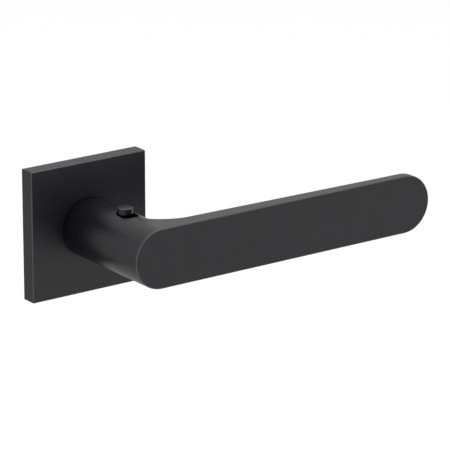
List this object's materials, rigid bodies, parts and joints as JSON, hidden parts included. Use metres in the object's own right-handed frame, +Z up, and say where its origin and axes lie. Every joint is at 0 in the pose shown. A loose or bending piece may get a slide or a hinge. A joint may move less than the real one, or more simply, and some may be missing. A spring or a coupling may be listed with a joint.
{
  "type": "door lever handle",
  "caption": "Matt black door lever handle on a square rose, with a sprung lever, a rounded flat grip and a small sliding thumb lock on the neck.",
  "frame": {"origin": "spindle axis at the door face, the plane of the rose's back", "axes": "+X along the grip towards its free end, +Y into the door, +Z up"},
  "size_m": [0.1527, 0.085, 0.052],
  "materials": {
    "black_coat": "fine matt powder coat",
    "black_nylon": "moulded, matt",
    "cast_zinc": "as cast, tumbled",
    "plated_steel": "bright zinc plated",
    "bright_steel": "ground",
    "dark_steel": "black oxide"
  },
  "bodies": {
    "rose": {"rose_cover": "black_coat", "base_plate": "cast_zinc", "fixing_screws": "plated_steel", "screw_washers": "plated_steel", "bearing_bush": "black_nylon", "lock_ring": "bright_steel", "stop_pins": "bright_steel", "return_spring": "dark_steel", "cover_clips": "dark_steel"},
    "lever": {"lever_handle": "black_coat", "spigot": "bright_steel", "spindle": "plated_steel", "set_screw": "dark_steel", "slot_liner": "black_nylon", "spring_driver": "plated_steel", "thrust_washer": "plated_steel", "circlip": "dark_steel"},
    "lock": {"lock_button": "black_coat", "lock_bar": "dark_steel", "detent_ball": "bright_steel", "detent_spring": "dark_steel"}
  },
  "joints": [
    {"name": "lever_turn", "type": "hinge", "parent": "rose", "child": "lever", "pos_m": [0, 0, 0], "axis": [0, 1, 0], "range_deg": [0, 45], "stiffness_Nm_per_rad": 0.9, "springref_deg": -22.92, "deforming": ["return_spring"]},
    {"name": "lock_slide", "type": "slide", "parent": "lever", "child": "lock", "axis": [0, -1, 0], "range_m": [0, 0.0026], "deforming": ["detent_spring"]}
  ]
}
